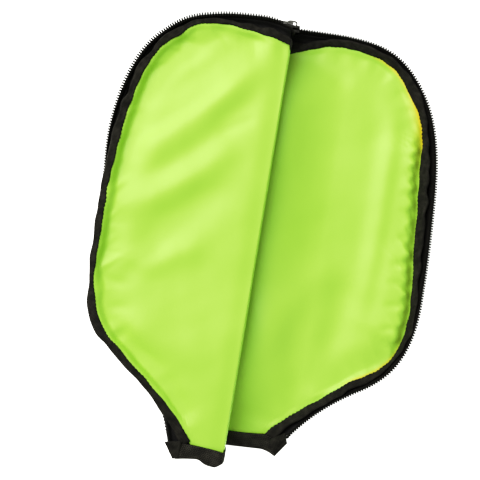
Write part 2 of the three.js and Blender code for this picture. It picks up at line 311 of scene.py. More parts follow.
CLOSED_LEFT = rim_shape(
    edge=[(0, -3.2), (60, -2.8), (END - 110, -2.4), (END - 52, -0.3), (END, -0.3)],
    inner=[(0, -12), (60, -10), (END - 40, -10), (END, -15)],
    crest_share=[(0, 0.5), (END - 80, 0.5), (END - 62, 0.8), (END - 22, 0.78), (END - 4, 0.5),
                 (END, 0.5)],
    crest_high=[(0, 7.6), (END - 80, 7.6), (END - 62, 9.6), (END - 22, 9.6), (END - 4, 7.0),
                (END, 7.0)],
    foot_high=[(0, 4.9), (END, 5.2)],
    crest_wave=0.5,
    coil_high=[(0, 10.6), (END - 60, 10.6), (END - 46, 9.5), (END, 9.5)],
    coil_back=1.4,
    coil_reach=[(0, 1.3), (END - 60, 1.3), (END - 46, 0.8), (END, 0.8)],
    tape_in=0.0,
    seam_back=1.6,
    wall_run=3.4,
)

SLIP_LENGTH = 46
SLIP_SPINE = 4
SLIP_WIDTH = 42


class Side:
    """One half of a tray: its rim, which side of the case it is on, and where it lies.

    Its neck end slips up the case by slip millimetres at the spine, and away from the spine
    slip_fade is the share of that which is lost."""

    def __init__(self, shape, hand, base, upward, slip, slip_fade, lining_from, seed):
        self.shape = shape
        self.hand = hand
        self.base = base
        self.upward = upward
        self.slip = slip
        self.slip_fade = slip_fade
        self.lining_from = lining_from
        self.seed = seed

    def value(self, name, s):
        return self.shape[name](s)

    def settle(self, xy):
        """Slips the neck end, and mirrors the half to its own side of the case."""
        moved = xy.copy()
        near_neck = 1 - smooth(np.abs(xy[..., 1]) / SLIP_LENGTH)
        share = 1 - smooth((np.abs(xy[..., 0]) - SLIP_SPINE) / SLIP_WIDTH) * self.slip_fade
        moved[..., 1] += self.slip * near_neck * share
        moved[..., 0] *= self.hand
        return moved

    def space(self, s, out, high):
        """Points in space from places along the rim, distances out of it, and heights."""
        s, out, high = np.broadcast_arrays(s, out, high)
        return self.lift(self.settle(rim.at(s, out)), high)

    def rings(self, s, section):
        """A ring of points at each s, from the (out, high) pairs of a section."""
        return np.stack([self.space(s, out, high) for out, high in section], 1)

    def lift(self, xy, high):
        z = self.base + (high if self.upward else -high)
        return np.concatenate([xy, np.asarray(z, float)[..., None]], -1)


back_right = Side(BACK_RIGHT, hand=1, base=0.0, upward=True,
                  slip=4.6, slip_fade=0.75, lining_from=7.0, seed=1)
back_left = Side(CLOSED_LEFT, hand=-1, base=0.0, upward=True,
                 slip=4.6, slip_fade=0.75, lining_from=7.0, seed=2)
front_left = Side(CLOSED_LEFT, hand=-1, base=CASE_TOP, upward=False,
                  slip=0.0, slip_fade=0.0, lining_from=7.0, seed=3)
flap_left = Side(FLAP_LEFT, hand=-1, base=FLAP_BASE, upward=True,
                 slip=-6.2, slip_fade=0.1, lining_from=1.0, seed=4)

# ---- meshes


def mesh_object(name, points, faces, material, uvs=None, painted_glow=None):
    """points are in millimetres in the case's frame. uvs holds one pair in metres per point,
    and the last argument how far each point takes a warm glow of light painted into the cloth's
    colour."""
    points = np.asarray(points, float).reshape(-1, 3)
    placed = (points + (0, NECK_Y, 0)) * MM
    mesh = bpy.data.meshes.new(name)
    mesh.from_pydata(placed.tolist(), [], [list(map(int, f)) for f in faces])
    if uvs is not None:
        layer = mesh.uv_layers.new(name="weave")
        corners = np.empty(len(mesh.loops), np.int32)
        mesh.loops.foreach_get("vertex_index", corners)
        layer.data.foreach_set("uv", np.asarray(uvs, np.float32)[corners].ravel())
    # The painted glow, a tint that stands in for light, is stored as a point attribute.
    if painted_glow is not None:
        tint = mesh.attributes.new("painted_glow", "FLOAT", "POINT")
        tint.data.foreach_set("value", np.asarray(painted_glow, np.float32).ravel())
    mesh.materials.append(material)
    mesh.validate()
    mesh.update()
    mesh.shade_smooth()
    return add_object(name, mesh)


def grid_faces(rows, columns, wrap=False, first=0, flip=False):
    """Quads over a grid of points. With wrap, the last column joins the first."""
    strips = columns if wrap else columns - 1
    i, j = np.meshgrid(np.arange(rows - 1), np.arange(strips), indexing="ij")
    k = (j + 1) % columns
    row = i * columns + first
    above = row + columns
    quads = np.stack([row + j, above + j, above + k, row + k], -1).reshape(-1, 4)
    return [tuple(quad) for quad in (quads[:, ::-1] if flip else quads)]


def loft_parts(rings, flip=False):
    """Points, faces and weave coordinates of a capped tube whose sections are the rings."""
    rings = np.asarray(rings, float)
    rows, columns = rings.shape[:2]
    faces = grid_faces(rows, columns, wrap=True, flip=flip)
    start = tuple(range(columns))
    stop = tuple((rows - 1) * columns + k for k in range(columns))
    faces.append(start if not flip else start[::-1])
    faces.append(stop[::-1] if not flip else stop)
    run = distances(rings.mean(1))
    across = distances(rings, axis=1)
    uvs = np.stack([np.repeat(run[:, None], columns, 1), across], -1).reshape(-1, 2) * MM
    return rings.reshape(-1, 3), faces, uvs


def loft(name, rings, material, flip=False):
    points, faces, uvs = loft_parts(rings, flip)
    return mesh_object(name, points, faces, material, uvs)


def pad_parts(top, bottom, flip):
    """Points and faces of a closed pad. Its two faces are grids of the same size."""
    rows, columns = top.shape[:2]
    count = rows * columns
    faces = grid_faces(rows, columns, flip=flip)
    faces += grid_faces(rows, columns, first=count, flip=not flip)
    ids = np.arange(count).reshape(rows, columns)
    loop = np.concatenate([ids[0], ids[1:, -1], ids[-1, -2::-1], ids[-2:0:-1, 0]])
    for a, b in zip(loop, np.roll(loop, -1)):
        quad = (a, b, b + count, a + count)
        faces.append(quad[::-1] if flip else quad)
    return np.concatenate([top.reshape(-1, 3), bottom.reshape(-1, 3)]), faces


def sheet_from_grid(name, grid, thickness, material, flip=False, painted_glow=None):
    """A thin closed sheet: the grid is its upper face, and its lower face lies under it."""
    normal = unit(np.cross(np.gradient(grid, axis=1), np.gradient(grid, axis=0)))
    if flip:
        normal = -normal
    points, faces = pad_parts(grid, grid - normal * thickness, flip=not flip)
    uvs = np.stack([distances(grid, axis=1), distances(grid)], -1).reshape(-1, 2) * MM
    if painted_glow is not None:
        painted_glow = np.concatenate([painted_glow.ravel(), painted_glow.ravel()])
    return mesh_object(name, points, faces, material, np.concatenate([uvs, uvs]), painted_glow)


def patch(bottom, top, spine, right, u, v):
    """A grid that fills the space between four curves. u and v say how far it has come."""
    u = u[None, :, None]
    v = v[:, None, None]
    grid = (1 - v) * bottom[None] + v * top[None] + (1 - u) * spine[:, None] + u * right[:, None]
    low_corners = (1 - u) * (1 - v) * bottom[0] + u * (1 - v) * bottom[-1]
    return grid - (low_corners + (1 - u) * v * top[0] + u * v * top[-1])


# ---- materials


class Nodes:
    """A short way to write a material's nodes."""

    def __init__(self, name):
        self.material = bpy.data.materials.new(name)
        self.material.use_nodes = True
        self.tree = self.material.node_tree
        self.shader = self.tree.nodes["Principled BSDF"]

    def add(self, kind, **values):
        node = self.tree.nodes.new(kind)
        for key, value in values.items():
            setattr(node, key, value)
        return node

    def join(self, source, target):
        self.tree.links.new(source, target)

    def feed(self, name, source):
        self.join(source, self.shader.inputs[name])

    def place(self):
        return self.add("ShaderNodeTexCoord").outputs["Object"]

    def split(self, vector):
        node = self.add("ShaderNodeSeparateXYZ")
        self.join(vector, node.inputs[0])
        return node.outputs

    def ribs(self, value, pitch):
        return self.math("SINE", self.math("MULTIPLY", value, 2 * math.pi / pitch))

    def set(self, **values):
        for key, value in values.items():
            self.shader.inputs[key.replace("_", " ")].default_value = value

    def math(self, operation, a, b=None):
        node = self.add("ShaderNodeMath", operation=operation)
        for k, value in enumerate((a, b)):
            if value is None:
                continue
            if isinstance(value, (int, float)):
                node.inputs[k].default_value = value
            else:
                self.join(value, node.inputs[k])
        return node.outputs[0]

    def ramp(self, value, low, high):
        """Colours between two (value, colour) stops."""
        node = self.add("ShaderNodeValToRGB")
        for element, (place, colour) in zip(node.color_ramp.elements, (low, high)):
            element.position = place
            element.color = colour
        self.join(value, node.inputs["Fac"])
        return node.outputs["Color"]

    def bump(self, height, strength, distance, below=None):
        node = self.add("ShaderNodeBump")
        node.inputs["Strength"].default_value = strength
        node.inputs["Distance"].default_value = distance
        self.join(height, node.inputs["Height"])
        if below is not None:
            self.join(below, node.inputs["Normal"])
        return node.outputs["Normal"]

    def noise(self, vector, scale, detail=2.0):
        node = self.add("ShaderNodeTexNoise")
        node.inputs["Scale"].default_value = scale
        node.inputs["Detail"].default_value = detail
        self.join(vector, node.inputs["Vector"])
        return node.outputs["Fac"]


def grey(value):
    return (value, value, value, 1)


LIME_DEEP = (0.385, 0.725, 0.070, 1)
LIME_PALE = (0.425, 0.765, 0.092, 1)
# Painted glow: a warm colour that stands in for light on the lining where it stands up at the rim.
GLOW_PAINT_TINT = (0.74, 0.62, 0.01, 1)
CLOTH_DARK = (0.010, 0.010, 0.011, 1)
CLOTH_WORN = (0.028, 0.028, 0.030, 1)
OXFORD_PITCH = 0.0011
HERRINGBONE = 0.0022


def satin_material():
    """Bright polyester lining with a faint twill, and a warm glow of light painted into its colour
    where a mask asks for it.
    """
    n = Nodes("lining_satin")
    place = n.place()
    weave = n.add("ShaderNodeTexWave", wave_type="BANDS", bands_direction="DIAGONAL")
    weave.inputs["Scale"].default_value = 900
    weave.inputs["Distortion"].default_value = 0.6
    n.join(place, weave.inputs["Vector"])
    # A mesh attribute mixes in the painted warm glow. It is colour standing in for light, not the
    # cloth's own colour.
    mixed = n.add("ShaderNodeMixRGB")
    n.join(n.add("ShaderNodeAttribute", attribute_name="painted_glow").outputs["Fac"], mixed.inputs["Fac"])
    n.join(n.ramp(n.noise(place, 9, 3), (0.25, LIME_DEEP), (0.75, LIME_PALE)), mixed.inputs["Color1"])
    mixed.inputs["Color2"].default_value = GLOW_PAINT_TINT
    n.feed("Base Color", mixed.outputs["Color"])
    fine = n.bump(weave.outputs["Fac"], 0.12, 0.0001)
    n.feed("Normal", n.bump(n.noise(place, 160, 2), 0.10, 0.0006, fine))
    n.set(Roughness=0.46, Sheen_Weight=0.03, Sheen_Roughness=0.4, Specular_IOR_Level=0.8, IOR=1.5)
    return n.material


def tape_material(name, dark, light, roughness, rib=0.0009, twill=False):
    """Woven tape. Its ribs follow the weave coordinates, which run along the tape in metres."""
    n = Nodes(name)
    weave_place = n.split(n.add("ShaderNodeUVMap", uv_map="weave").outputs["UV"])
    along = weave_place["X"]
    across = weave_place["Y"]
    if twill:
        along = n.math("ADD", along, n.math("PINGPONG", across, HERRINGBONE))
    rows = n.math("MULTIPLY", n.ribs(along, rib), 0.65)
    cross = n.math("MULTIPLY", n.ribs(across, rib * 0.8), 0.35)
    weave = n.math("ADD", rows, cross)
    place = n.place()
    mixed = n.math("ADD", n.math("MULTIPLY", weave, 0.45 if twill else 0.25), n.noise(place, 220, 4))
    n.feed("Base Color", n.ramp(mixed, (0.25, dark), (0.85, light)))
    first = n.bump(weave, 0.5 if twill else 0.35, 0.0003)
    n.feed("Normal", n.bump(n.noise(place, 900, 3), 0.35, 0.0004, first))
    n.set(Roughness=roughness, Sheen_Weight=0.03, Sheen_Roughness=0.5, Specular_IOR_Level=0.15)
    return n.material


def shell_material():
    """Black coated oxford cloth of the outside."""
    n = Nodes("shell_fabric")
    place = n.place()
    parts = n.split(place)
    basket = n.math("MULTIPLY", n.ribs(parts["X"], OXFORD_PITCH), n.ribs(parts["Y"], OXFORD_PITCH))
    mixed = n.math("ADD", n.math("MULTIPLY", basket, 0.16), n.noise(place, 45, 4))
    n.feed("Base Color", n.ramp(mixed, (0.3, CLOTH_DARK), (0.8, CLOTH_WORN)))
    first = n.bump(basket, 0.4, 0.0003)
    n.feed("Normal", n.bump(n.noise(place, 60, 3), 0.2, 0.002, first))
    n.set(Roughness=0.7, Sheen_Weight=0.05, Sheen_Roughness=0.4, Specular_IOR_Level=0.25)
    return n.material


def coil_material():
    """Black nylon monofilament of the zip coil, a little dusty."""
    n = Nodes("zip_coil")
    dust = n.noise(n.place(), 700, 3)
    n.feed("Base Color", n.ramp(dust, (0.35, grey(0.010)), (0.75, grey(0.024))))
    n.feed("Normal", n.bump(dust, 0.15, 0.0002))
    n.set(Roughness=0.5, Specular_IOR_Level=0.2)
    return n.material


def nickel_material(name, dull, bright):
    """Cast slider metal with a brushed, slightly worn plating."""
    n = Nodes(name)
    place = n.place()
    stretch = n.add("ShaderNodeMapping")
    stretch.inputs["Scale"].default_value = (200, 3000, 3000)
    n.join(place, stretch.inputs["Vector"])
    scratches = n.noise(stretch.outputs["Vector"], 1.0, 4)
    n.feed("Base Color", n.ramp(n.noise(place, 400, 4), (0.3, grey(dull)), (0.7, grey(bright))))
    n.feed("Roughness", n.ramp(scratches, (0.3, grey(0.18)), (0.8, grey(0.40))))
    n.feed("Normal", n.bump(scratches, 0.12, 0.0001))
    n.set(Metallic=1.0)
    return n.material


TAPE_BLACK = (0.012, 0.012, 0.011, 1)
SATIN = satin_material()
BINDING = tape_material("binding_tape", (0.014, 0.014, 0.013, 1), (0.052, 0.050, 0.046, 1), 0.85)
ZIP_TAPE = tape_material("zip_tape", TAPE_BLACK, (0.024, 0.023, 0.021, 1), 0.9, rib=0.0007)
TAB_TAPE = tape_material("zip_tape_end", TAPE_BLACK, (0.050, 0.048, 0.045, 1), 0.85, rib=0.0011)
TWILL = tape_material("twill_tape", grey(0.006), (0.078, 0.075, 0.070, 1), 0.85, rib=0.0016,
                      twill=True)
SHELL = shell_material()
COIL = coil_material()
NICKEL = nickel_material("nickel", 0.07, 0.18)
BLACK_NICKEL = nickel_material("black_nickel", 0.025, 0.06)

# ---- lining

PANEL_THICK = 2.3

# Where the rim's side ends and its crown begins, for a grid with four sides.
CORNER_S = 290.0

LINING_COLUMNS = 84
LINING_ROWS = 236
LINING_BED = 5.0
LINING_FLOOR = PANEL_THICK + 0.75
LINING_THICKNESS = 0.35
LINING_TUCK = 1.2
SWELL_HIGH = 8.0
ROLL_HIGH = 4.5
NECK_TAPE_TOP = 6.5


def crease(xy, start, end, height, width, bend=0.0, lopsided=0.0, fade=0.3):
    """A soft ridge along a line, or a valley where height is below zero."""
    a = np.array(start, float)
    way = np.array(end, float) - a
    length = np.linalg.norm(way)
    way /= length
    off = xy - a
    t = (off @ way) / length
    across = off[:, 0] * way[1] - off[:, 1] * way[0]
    across = across - bend * 4 * t * (1 - t)
    spread = width * (1 + lopsided * np.tanh(across / width))
    along = window(t, 0, fade, 1, fade)
    return height * along * bell(across, spread)


def dent(xy, centre, size, height):
    gap = (xy - np.array(centre, float)) / np.array(size, float)
    return height * np.exp(-(gap ** 2).sum(1))


def half_grid(side):
    """Points of half a lining as a grid: rows run up the case, columns from the spine to the rim."""
    right_s = np.linspace(side.lining_from, CORNER_S, LINING_ROWS)
    top_s = np.linspace(END, CORNER_S, LINING_COLUMNS)
    right = rim.at(right_s, side.value("inner", right_s) + LINING_TUCK)
    top = rim.at(top_s, side.value("inner", top_s) + LINING_TUCK)
    top[0, 0] = 0.0
    bottom = np.linspace((0, NECK_TAPE_TOP), right[0], LINING_COLUMNS)
    spine = np.linspace((0, NECK_TAPE_TOP), top[0], LINING_ROWS)
    return patch(bottom, top, spine, right, np.linspace(0, 1, LINING_COLUMNS),
                 np.linspace(0, 1, LINING_ROWS))


def rim_depth(side, flat):
    """Where points lie along the rim, and how far in from the line where the lining ends."""
    s, out = rim.coordinates(flat)
    return s, np.maximum(side.value("inner", s) - out, 0)


def rim_gather(s, depth, side, stitch=3.5):
    """Where it is drawn into the binding: small puckers at the stitches, and longer ones."""
    near = np.exp(-depth / 2.2)
    wide = bell(depth - 3, 8.0)
    small = 0.16 * np.cos(2 * math.pi * s / stitch) * near
    long_wave = wobble(s, 9.0, side.seed) * 0.55 * wide
    return small + long_wave


def rim_wall(s, depth, side):
    """The lining climbs from its bed to the foot of the binding."""
    climb = side.value("foot_high", s) - LINING_THICKNESS - LINING_BED
    run = side.value("wall_run", s) * (1 + 0.45 * wobble(s, 22, side.seed + 70))
    soft_foot = np.exp(-depth / run)
    wall = 1 - smooth(depth / (1.55 * run))
    return climb * (0.25 * soft_foot + 0.75 * wall)


def neck_fall(xy):
    """The lining lies lower where the neck tape holds it."""
    return -0.9 * (1 - smooth((xy[:, 1] - 5) / 16))


def fold_swell(xy):
    """The back lining stands up along the spine, under the folded front."""
    near_spine = 1 - smooth((xy[:, 0] - 2) / 44)
    ends = window(xy[:, 1], 8, 50, 284, 40)
    return SWELL_HIGH * near_spine * ends


def edge_roll(s, depth):
    """Along the back's right side the lining rolls down into the seam, further at each pull."""
    where = window(s, 110, 16, 274, 20)
    pull = 0.5 + 0.5 * np.cos(2 * math.pi * (s + 2.4 * np.sin(s / 13)) / 10.5)
    run = 6.2 + 3.4 * pull
    roll = smooth(depth / run)
    return where * ROLL_HIGH * roll * bell(depth, 20)


def no_roll(s, depth):
    return 0.0


def fine_pulls(s, depth, side, first, last, pitch, high):
    """Short creases that run from the seam up into the lining, a little apart and uneven."""
    where = window(s, first, 16, last, 16)
    slant = s - 0.9 * depth + 3.0 * wobble(s, 40, side.seed + 80)
    ridge = np.abs(np.cos(math.pi * slant / pitch)) ** 6
    length = 9 + 6 * wobble(s, 33, side.seed + 90)
    fade = smooth(depth / 2.5) * bell(depth, length)
    return high * where * fade * (ridge - 0.35)


# Each crease's start and end, its height and half width, how far it bows, and how lopsided it is.
BACK_CREASES = (
    ((57, 146), (14, 70), 1.6, 13, 4),
    ((66, 138), (60, 70), -1.2, 9),
    ((79, 275), (78, 75), 1.3, 8, -3),
    ((88, 262), (87, 90), -0.8, 6),
    ((10, 284), (50, 262), -1.2, 8),
    ((6, 250), (14, 190), 1.0, 9),
    ((4, 120), (40, 30), 0.9, 10),
)
FLAP_CREASES = (
    ((10, 270), (100, 184), 2.3, 10, 5, 0.3),
    ((22, 282), (96, 226), -1.3, 10, 3),
    ((8, 264), (97, 166), -1.8, 9, 9),
    ((20, 212), (94, 150), 1.6, 9, 4),
    ((20, 190), (88, 124), -1.4, 10, 3),
    ((28, 144), (90, 114), 1.5, 9, 3),
    ((56, 136), (90, 106), -1.0, 7),
    ((90, 84), (12, 60), 1.3, 11, -4),
    ((88, 80), (44, 48), -1.0, 6, -3),
    ((48, 50), (18, 10), -1.0, 6, -2),
    ((12, 230), (40, 212), -0.5, 4),
    ((94, 222), (48, 276), -2.1, 6.5, 7),
)
RIM_PULLS = (104, 119, 133, 150, 166, 183, 199)


def back_height(xy, s, depth):
    """How far the right half of the back lining stands off its bed."""
    high = rim_gather(s, depth, back_right)
    right = smooth((xy[:, 0] - 60) / 30)
    high += right * 1.3 * bell(depth - 22, 11)
    for line in BACK_CREASES:
        high += crease(xy, *line)
    high += dent(xy, (34, 228), (24, 18), -0.9)
    high += fold_swell(xy)
    high += fine_pulls(s, depth, back_right, 96, 300, 15.0, 0.8)
    high += wobble2(xy, 42, 3) * 0.9 + wobble2(xy, 17, 5) * 0.16
    for k, y in enumerate(RIM_PULLS):
        edge_x = rim.at(np.array([y + 28.0]), np.array([-6.0]))[0, 0]
        end_y = y - 5 + 3 * (k % 3)
        high += crease(xy, (edge_x + 4, y), (edge_x - 17, end_y), -0.7, 2.6, fade=0.45)
    return high


def flap_height(xy, s, depth):
    """How far the flap's lining stands off its bed. x is measured away from the fold."""
    high = rim_gather(s, depth, flap_left)
    along_rim = window(s, 130, 30, 388, 16)
    along_taper = 0.6 * window(s, 8, 10, 104, 24)
    pocket = (along_rim + along_taper) * (0.8 + 0.5 * wobble(s, 26, 11))
    spread = np.where(depth < 4.6, 3.6, 11.0)
    high -= 2.3 * np.clip(pocket, 0, 1) * bell(depth - 4.6, spread)
    for line in FLAP_CREASES:
        high += crease(xy, *line)
    high += dent(xy, (90, 104), (8, 4), -0.8)
    high += dent(xy, (86, 88), (8, 4), -0.7)
    high += fine_pulls(s, depth, flap_left, 128, 366, 19.0, 0.9)
    high += wobble2(xy, 38, 8) * 0.75 + wobble2(xy, 15, 9) * 0.14
    return high


def plain_height(xy, s, depth):
    return wobble2(xy, 40, 2) * 0.3


def hidden_back_height(xy, s, depth):
    return plain_height(xy, s, depth) + fold_swell(xy)


def lining_half(side, height, roll=no_roll):
    """Half a lining. Its height is eased at the rim and the neck, and kept above the panel."""
    grid = half_grid(side)
    flat = grid.reshape(-1, 2)
    s, depth = rim_depth(side, flat)
    held = 0.1 + 0.9 * smooth(depth / 4) * smooth((flat[:, 1] - NECK_TAPE_TOP) / 12)
    high = LINING_BED + rim_wall(s, depth, side) + roll(s, depth) + neck_fall(flat)
    high = high + height(flat, s, depth) * held
    high = LINING_FLOOR + 0.5 * np.logaddexp(0, (high - LINING_FLOOR) / 0.5)
    return side.lift(side.settle(grid), high.reshape(grid.shape[:2]))


# Columns beside the spine over which the hidden half takes up the height of the right half.
SPINE_EASE = 16


def rim_glow_paint(side):
    """Where the lining stands up at the rim's two right-hand corners, a mask for a warm glow of light
    painted into its colour.
    """
    grid = half_grid(side)
    s, depth = rim_depth(side, grid.reshape(-1, 2))
    upper = window(s, 250, 16, 352, 26)
    lower = window(s, 62, 16, 124, 18)
    edge_line = bell(depth, 1.2)
    wide_glow = 0.55 * bell(s - 272, 24) * bell(depth, 4.6)
    tint = np.clip(0.8 * (upper + lower) * edge_line + wide_glow, 0, 1)
    return tint.reshape(grid.shape[:2])


def back_lining():
    right = lining_half(back_right, back_height, edge_roll)
    left = lining_half(back_left, hidden_back_height)
    middle = (right[:, 0] + left[:, 0]) / 2
    right[:, 0] = middle
    for k in range(1, SPINE_EASE):
        share = 1 - smooth(k / SPINE_EASE)
        left[:, k, 2] = left[:, k, 2] * (1 - share) + middle[:, 2] * share
    grid = np.concatenate([left[:, :0:-1], right], 1)
    # Painted glow: how far the lining takes a warm tint that stands in for light.
    painted_glow = np.concatenate([np.zeros_like(left[:, 1:, 0]), rim_glow_paint(back_right)], 1)
    piece = sheet_from_grid("back_lining_sheet", grid, LINING_THICKNESS, SATIN, painted_glow=painted_glow)
    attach(piece, "back")
    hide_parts("back_lining")


LINING_FOLD_STEPS = 13
BAND_FOLD_STEPS = 9
FOLD_DROOP = 3.6
FOLD_SQUASH = 0.34


def fold_over(first, last, steps):
    """Columns that carry a sheet round the fold from its upper layer to its lower one."""
    columns = []
    for angle in np.linspace(0, math.pi, steps + 2)[1:-1]:
        share = angle / math.pi
        between = first * (1 - share) + last * share
        radius = (first[:, 2] - FOLD_Z) * (1 - share) + (FOLD_Z - last[:, 2]) * share
        droop = FOLD_DROOP * smooth((between[:, 1] - LENGTH + 34) / 18)
        x = between[:, 0] + FOLD_SQUASH * radius * math.sin(angle)
        y = between[:, 1] - droop * math.sin(angle)
        z = FOLD_Z + radius * math.cos(angle)
        columns.append(np.stack([x, y, z], 1))
    return np.stack(columns, 1)


def front_lining():
    upper = lining_half(flap_left, flap_height)
    lower = lining_half(front_left, plain_height)
    roll = smooth(1 - np.abs(upper[..., 0]) / 16)
    upper[..., 2] -= 0.9 * roll ** 2
    bend = fold_over(upper[:, 0], lower[:, 0], LINING_FOLD_STEPS)
    grid = np.concatenate([upper[:, ::-1], bend, lower], 1)
    piece = sheet_from_grid("front_lining_sheet", grid, LINING_THICKNESS, SATIN)
    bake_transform(piece)
    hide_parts("front_left_lining", "flap_lining")


# ---- binding, tape and coil


def binding_rings(side, s):
    """Sections of the binding: outer foot, crest, inner face, inner foot, and back underneath."""
    edge = side.value("edge", s) - side.value("seam_back", s) + 0.6
    inner = side.value("inner", s)
    width = edge - inner
    crest = edge - width * side.value("crest_share", s)
    high = side.value("crest_high", s)
    crest = crest + wobble(s, 10, side.seed + 20) * side.value("crest_wave", s)
    high = high + wobble(s, 12, side.seed + 30) * 0.7
    inner = inner + wobble(s, 9, side.seed + 60) * 0.45
    scallop = 0.32 * np.cos(2 * math.pi * s / 2.8) * (0.5 + 0.5 * wobble(s, 18, side.seed + 50))
    foot = inner + scallop
    lean = np.minimum(1.3, width * 0.16)
    foot_high = side.value("foot_high", s)
    low = 4.3
    outer = np.minimum(crest + lean, edge - 0.6)
    section = [
        (outer, low),
        (outer + 0.1, low + (high - low) * 0.6),
        (crest + lean * 0.6, high - 0.35),
        (crest, high),
        (crest - lean * 0.6, high - 0.3),
        (crest - lean, foot_high + (high - foot_high) * 0.78),
        (foot * 0.5 + (crest - lean) * 0.5, foot_high + (high - foot_high) * 0.45),
        (foot + 0.8, foot_high + 0.55),
        (foot, foot_high - 0.05),
        (foot + 0.4, foot_high - 0.7),
    ]
    return side.rings(s, section)


def around_fold(first, last):
    """Rings that carry a band round the fold, between its ring on the flap and the one below."""
    return np.swapaxes(fold_over(first, last, BAND_FOLD_STEPS), 0, 1)


# Rings are one step apart, and the left side's first rings ease to where the right side ends.
BAND_STEP = 1.0
BAND_EASE = 24


def stations(start, stop, step=BAND_STEP):
    count = max(2, int(abs(stop - start) / step) + 1)
    return np.linspace(start, stop, count)


def two_sided(name, make, right_from, left_from, material):
    """A band on the back tray: up its right side, over the crown, and down its left side."""
    right = make(back_right, stations(right_from, END))
    left = make(back_left, stations(END, left_from))
    right[-1] = (right[-1] + left[0]) / 2
    shift = right[-1] - left[0]
    for k in range(1, BAND_EASE):
        left[k] += shift * (1 - smooth(k / BAND_EASE))
    return loft(name, np.concatenate([right, left[1:]]), material)


def folded_band(name, make, flap_from, left_from, material):
    """A band on the front panel: up the flap, round the fold, and down the zipped half."""
    upper = make(flap_left, stations(flap_from, END))
    lower = make(front_left, stations(END, left_from))
    bend = around_fold(upper[-1], lower[0])
    piece = loft(name, np.concatenate([upper, bend, lower]), material, flip=True)
    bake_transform(piece)
    return piece


def tape_rings(side, s):
    """Sections of the zip tape: a thin strip from the shell's edge up to the coil."""
    edge = side.value("edge", s)
    coil_out = edge - side.value("coil_back", s)
    coil_high = side.value("coil_high", s)
    foot_out = np.minimum(edge - 2.4, -1.2)
    foot_high = 2.0
    thick = 0.35
    tape_in = side.value("tape_in", s)
    middle_out = foot_out * 0.35 + coil_out * 0.65 - tape_in
    middle_high = foot_high + (coil_high - foot_high) * 0.55
    top_out = coil_out - 0.7 * tape_in * side.value("coil_reach", s)
    section = [
        (foot_out + thick, foot_high),
        (middle_out + thick, middle_high),
        (top_out + thick, coil_high + 0.1),
        (top_out - thick * 0.4, coil_high + thick * 1.6),
        (middle_out - thick, middle_high + thick),
        (foot_out - thick, foot_high),
    ]
    return side.rings(s, section)


COIL_PITCH = 1.8
COIL_DEPTH = 0.7
COIL_WIRE = 0.6
MESHED_WIRE = 0.34
MESHED_DEPTH = 0.42
MESHED_FROM = END - 1
MESHED_TO = 68.0
TURN_POINTS = 10
WIRE_SIDES = 5
WIRE_GUIDE = (0.13, 0.21, 0.97)


def wire_parts(path, radius):
    """A round wire along a path."""
    along = unit(np.gradient(path, axis=0))
    first = unit(np.cross(along, WIRE_GUIDE))
    second = np.cross(along, first)
    angles = np.linspace(0, 2 * math.pi, WIRE_SIDES, endpoint=False)[None, :, None]
    around = np.cos(angles) * first[:, None] + np.sin(angles) * second[:, None]
    return loft_parts(path[:, None] + radius * around, flip=True)


def coil_parts(side, start, stop, pointing, wire=COIL_WIRE, deep=COIL_DEPTH):
    """A monofilament wound along the tape's edge. pointing is how far its heads point outwards."""
    turns = abs(stop - start) / COIL_PITCH
    t = np.linspace(0, 1, int(turns * TURN_POINTS))
    s = start + (stop - start) * t
    angle = 2 * math.pi * turns * t
    lean = pointing(s)
    heading = np.stack([np.sin(lean), np.cos(lean)], 1)
    crosswise = np.stack([heading[:, 1], -heading[:, 0]], 1)
    centre = np.stack([side.value("edge", s) - side.value("coil_back", s),
                       side.value("coil_high", s)], 1)
    reach = side.value("coil_reach", s) * np.cos(angle)
    thick = deep * np.sin(angle)
    s = s - np.sign(stop - start) * COIL_PITCH / (2 * math.pi) * np.sin(angle)
    section = centre + heading * reach[:, None] + crosswise * thick[:, None]
    return wire_parts(side.space(s, section[:, 0], section[:, 1]), wire)


def coil_piece(name, open_row, closed_side):
    """The turns of the open row, and the meshed turns of the zipped row on the other side."""
    meshed = coil_parts(closed_side, MESHED_FROM, MESHED_TO, CLOSED_LEAN, MESHED_WIRE, MESHED_DEPTH)
    points = np.concatenate([open_row[0], meshed[0]])
    faces = open_row[1] + [tuple(np.array(f) + len(open_row[0])) for f in meshed[1]]
    return mesh_object(name, points, faces, COIL, np.concatenate([open_row[2], meshed[2]]))


OPEN_LEAN = level(1.35)
CLOSED_LEAN = level(0.0)
FLAP_LEAN = keyed([(0, 2.6), (190, 2.4), (240, 1.5), (290, 1.4), (END, 1.4)])

# ---- the pieces


def back_band_pieces():
    binding = two_sided("back_binding", binding_rings, 6.0, 6.0, BINDING)
    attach(binding, "back")
    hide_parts("back_rim_binding")
    tape = two_sided("back_zip_strip", tape_rings, 6.0, 62.0, ZIP_TAPE)
    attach(tape, "back")
    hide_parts("back_zip_tape")
    open_row = coil_parts(back_right, 16.0, END - 5, OPEN_LEAN)
    coil = coil_piece("back_coil_winding", open_row, back_left)
    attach(coil, "back")
    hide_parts("back_zip_coil")


def front_band_pieces():
    binding = folded_band("front_binding", binding_rings, 3.0, 6.0, BINDING)
    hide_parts("front_left_rim_binding", "flap_rim_binding")
    tape = folded_band("front_zip_strip", tape_rings, 6.0, 62.0, ZIP_TAPE)
    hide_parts("front_left_zip_tape", "flap_zip_tape")
    open_row = coil_parts(flap_left, 12.5, END - 6.5, FLAP_LEAN)
    coil = coil_piece("front_coil_winding", open_row, front_left)
    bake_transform(coil)
    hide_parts("front_left_zip_coil", "flap_zip_coil")


# ---- outer panels

WALL_HIGH = 5.2
WALL_BACK = 1.9
CORNER_DROP = 3.0
CORNER_RUN = 5.5
SEAM_DEPTH = 6.5
PANEL_NECK = 1.0
PANEL_FROM = 1.0
PANEL_COLUMNS = 56
PANEL_ROWS = 120


